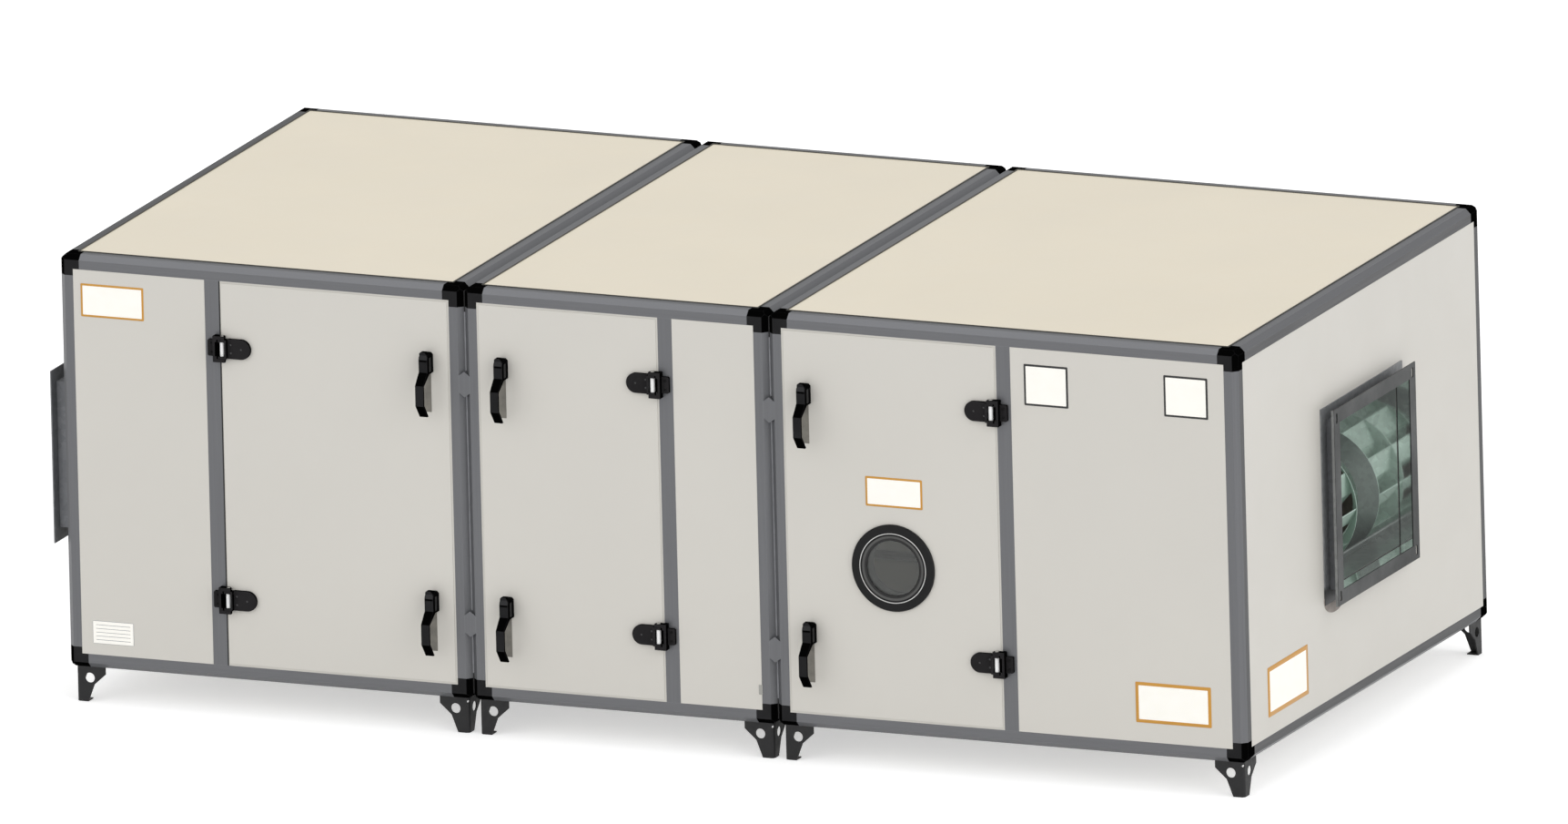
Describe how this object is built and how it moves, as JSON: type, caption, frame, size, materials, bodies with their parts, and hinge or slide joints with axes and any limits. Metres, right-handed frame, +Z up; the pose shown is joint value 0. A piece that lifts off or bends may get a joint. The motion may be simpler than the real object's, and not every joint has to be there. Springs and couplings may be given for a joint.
{
  "type": "air handling unit",
  "caption": "Horizontal air handling unit: insulated casing sections on feet, hinged access doors with lever handles, duct flanges at both ends and a centrifugal fan.",
  "frame": {"origin": "on the floor under the middle of the unit's outline, levers and duct flanges included", "axes": "+X from the inlet end to the outlet end, +Y from the door side to the back, +Z up"},
  "size_m": [3.083, 1.512, 1.085],
  "materials": {
    "profile": "satin grey frame profile",
    "corner": "moulded black corner piece",
    "panel": "light grey coated sheet",
    "roof": "cream coated sheet",
    "foot": "black coated pressed sheet",
    "gasket": "matt sealing strip",
    "flange": "dull galvanised flange",
    "sleeve": "dark galvanised duct sleeve",
    "hinge": "moulded black hinge",
    "pin": "bright steel pin",
    "handle": "moulded black lever",
    "ring": "black porthole ring",
    "glass": "clear inspection glass",
    "fan_housing": "galvanised fan sheet",
    "wheel": "green-grey coated wheel",
    "shaft": "ground steel",
    "bearing": "cast bearing on a steel bar",
    "pad": "rubber pad"
  },
  "bodies": {
    "casing": {"left_frame": "profile", "middle_frame": "profile", "right_frame": "profile", "frame_corners": "corner", "feet": "foot", "door_posts": "profile", "fixed_panels": "panel", "roof_panels": "roof", "floor_panels": "panel", "back_panels": "panel", "left_end_panel": "panel", "right_end_panel": "panel", "section_gaskets": "gasket", "section_clamps": "profile", "inlet_inner_flange": "flange", "inlet_sleeve": "sleeve", "inlet_outer_flange": "flange", "outlet_inner_flange": "flange", "outlet_sleeve": "sleeve", "outlet_outer_flange": "flange", "hinge_brackets": "hinge", "hinge_pins": "pin", "fan_scroll": "fan_housing", "fan_side_plates": "fan_housing", "bearing_bars": "bearing", "fan_base": "fan_housing", "fan_pads": "pad"},
    "left_door": {"left_door": "panel", "left_door_leaves": "hinge", "left_handle_seats": "handle"},
    "left_upper_lever": {"left_upper_lever": "handle"},
    "left_lower_lever": {"left_lower_lever": "handle"},
    "middle_door": {"middle_door": "panel", "middle_door_leaves": "hinge", "middle_handle_seats": "handle"},
    "middle_upper_lever": {"middle_upper_lever": "handle"},
    "middle_lower_lever": {"middle_lower_lever": "handle"},
    "right_door": {"right_door": "panel", "right_door_leaves": "hinge", "right_handle_seats": "handle", "porthole_rings": "ring", "porthole_glass": "glass"},
    "right_upper_lever": {"right_upper_lever": "handle"},
    "right_lower_lever": {"right_lower_lever": "handle"},
    "fan_wheel": {"fan_wheel": "wheel", "fan_shaft": "shaft"}
  },
  "joints": [
    {"name": "left_door_hinge", "type": "hinge", "parent": "casing", "child": "left_door", "pos_m": [-1.084, -0.705, 0.585], "axis": [0, 0, -1], "range_deg": [0, 100]},
    {"name": "left_upper_lever_turn", "type": "hinge", "parent": "left_door", "child": "left_upper_lever", "pos_m": [-0.561, -0.694, 0.899], "axis": [0, 1, 0], "range_deg": [0, 90]},
    {"name": "left_lower_lever_turn", "type": "hinge", "parent": "left_door", "child": "left_lower_lever", "pos_m": [-0.561, -0.694, 0.32], "axis": [0, 1, 0], "range_deg": [0, 90]},
    {"name": "middle_door_hinge", "type": "hinge", "parent": "casing", "child": "middle_door", "pos_m": [0.0148, -0.705, 0.585], "axis": [0, 0, 1], "range_deg": [0, 100]},
    {"name": "middle_upper_lever_turn", "type": "hinge", "parent": "middle_door", "child": "middle_upper_lever", "pos_m": [-0.37, -0.694, 0.899], "axis": [0, -1, 0], "range_deg": [0, 90]},
    {"name": "middle_lower_lever_turn", "type": "hinge", "parent": "middle_door", "child": "middle_lower_lever", "pos_m": [-0.37, -0.694, 0.32], "axis": [0, -1, 0], "range_deg": [0, 90]},
    {"name": "right_door_hinge", "type": "hinge", "parent": "casing", "child": "right_door", "pos_m": [0.8785, -0.705, 0.585], "axis": [0, 0, 1], "range_deg": [0, 100]},
    {"name": "right_upper_lever_turn", "type": "hinge", "parent": "right_door", "child": "right_upper_lever", "pos_m": [0.403, -0.694, 0.899], "axis": [0, -1, 0], "range_deg": [0, 90]},
    {"name": "right_lower_lever_turn", "type": "hinge", "parent": "right_door", "child": "right_lower_lever", "pos_m": [0.403, -0.694, 0.32], "axis": [0, -1, 0], "range_deg": [0, 90]},
    {"name": "fan_spin", "type": "hinge", "parent": "casing", "child": "fan_wheel", "pos_m": [1.2695, 0.031, 0.4819], "axis": [0, 1, 0], "continuous": true}
  ]
}
